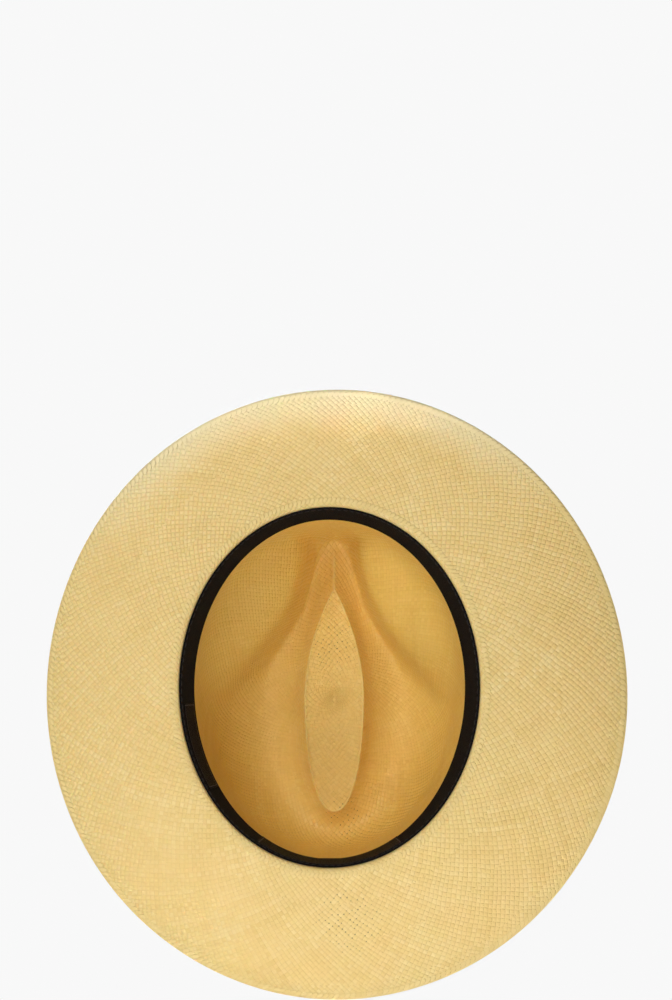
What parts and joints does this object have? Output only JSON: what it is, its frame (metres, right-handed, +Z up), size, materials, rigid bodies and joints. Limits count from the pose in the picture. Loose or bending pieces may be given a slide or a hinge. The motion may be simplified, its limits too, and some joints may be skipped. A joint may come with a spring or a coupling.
{
  "type": "panama hat",
  "caption": "Woven straw hat with a teardrop crown, front pinches and a curled brim, lined by a sewn sweatband and trimmed by a ribbon with a flat bow.",
  "frame": {"origin": "middle of the head opening, in the plane where the brim leaves the crown", "axes": "+X to the wearer's left, +Y to the back of the hat, +Z up to the crown; the front of the hat faces -Y"},
  "size_m": [0.318, 0.3303, 0.1122],
  "materials": {
    "straw": "natural toquilla straw, plain weave",
    "twill_tape": "black herringbone twill tape",
    "label_satin": "black woven satin, blank",
    "grosgrain": "black ribbed grosgrain ribbon",
    "thread": "sewing thread"
  },
  "bodies": {
    "hat": {"straw_body": "straw", "sweatband": "twill_tape", "sweatband_stitches": "thread", "back_label": "label_satin", "back_label_stitches": "thread", "side_label": "label_satin", "side_label_stitches": "thread", "size_tab_root": "label_satin", "hat_ribbon": "grosgrain", "ribbon_tacks": "thread", "bow_tail": "grosgrain", "bow_front_loop": "grosgrain", "bow_back_loop": "grosgrain", "bow_knot": "grosgrain", "bow_tacks": "thread"},
    "size_tab": {"size_tab": "label_satin"}
  },
  "joints": [
    {"name": "size_tab_fold", "type": "hinge", "parent": "hat", "child": "size_tab", "pos_m": [0, 0.09698, 0.03345], "axis": [1, 0, 0], "range_deg": [0, 90], "stiffness_Nm_per_rad": 0.0001}
  ]
}
